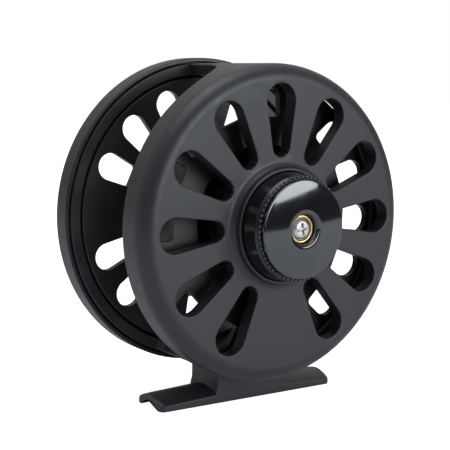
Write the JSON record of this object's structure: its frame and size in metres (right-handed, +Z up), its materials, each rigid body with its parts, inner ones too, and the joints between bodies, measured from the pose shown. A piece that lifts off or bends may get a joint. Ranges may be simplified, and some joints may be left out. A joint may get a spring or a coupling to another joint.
{
  "type": "fly reel",
  "caption": "Fly reel with a slotted moulded frame on a saddle foot, a large-arbor spool with a palming rim and handle, and a rear drag knob.",
  "frame": {"origin": "the flat crown of the foot's hollow underside, where the reel sits on the rod", "axes": "+Z up from the foot to the axle; +Y along the axle from the drag knob to the winding handle; +X along the rod"},
  "size_m": [0.085, 0.0684, 0.0907],
  "materials": {
    "body": "satin, fine moulded texture, near-black grey",
    "gloss": "polished black",
    "steel": "plain turned steel",
    "brass": "turned brass",
    "cork": "compressed cork"
  },
  "bodies": {
    "frame": {"frame": "body", "spindle": "steel", "drag_disc": "cork", "knob_screw": "steel", "pawl_screw": "steel", "pawl_spring": "steel", "spool_cap": "gloss", "cap_washer": "steel", "spring_washer_1": "steel", "spring_washer_2": "steel"},
    "spool": {"spool_body": "body", "spool_rear_flange": "body", "spool_bush": "brass", "clutch_bearing": "steel", "click_gear": "steel", "gear_screw_1": "steel", "gear_screw_2": "steel", "gear_screw_3": "steel", "handle_screw": "steel", "handle_insert": "brass", "handle_washer": "steel"},
    "handle": {"handle_knob": "gloss"},
    "knob": {"drag_knob": "gloss", "knob_cap": "gloss", "drag_bush": "brass"},
    "drag_thrust": {"thrust_washer": "steel"},
    "drag_rotor": {"drag_plate": "steel"},
    "pawl": {"click_pawl": "steel"}
  },
  "joints": [
    {"name": "spool_spin", "type": "hinge", "parent": "frame", "child": "spool", "pos_m": [0, 0.012, 0.0463], "axis": [0, 1, 0], "continuous": true},
    {"name": "handle_spin", "type": "hinge", "parent": "spool", "child": "handle", "pos_m": [-0.02796, 0.0326, 0.04909], "axis": [0, 1, 0], "continuous": true},
    {"name": "drag_turn", "type": "hinge", "parent": "frame", "child": "knob", "pos_m": [0, -0.0235, 0.0463], "axis": [0, 1, 0], "range_deg": [-180, 180]},
    {"name": "thrust_slide", "type": "slide", "parent": "frame", "child": "drag_thrust", "axis": [0, 1, 0], "range_m": [-0.00018, 0.00018]},
    {"name": "drag_plate_spin", "type": "hinge", "parent": "frame", "child": "drag_rotor", "pos_m": [0, -0.009, 0.0463], "axis": [0, 1, 0], "continuous": true},
    {"name": "pawl_rock", "type": "hinge", "parent": "frame", "child": "pawl", "pos_m": [0.0003, -0.0058, 0.0288], "axis": [0, 1, 0], "range_deg": [-15, 15], "stiffness_Nm_per_rad": 0.002}
  ],
  "couplings": [
    {"joint": "thrust_slide", "follows": "drag_turn", "m_per_rad": 0.0000557}
  ]
}
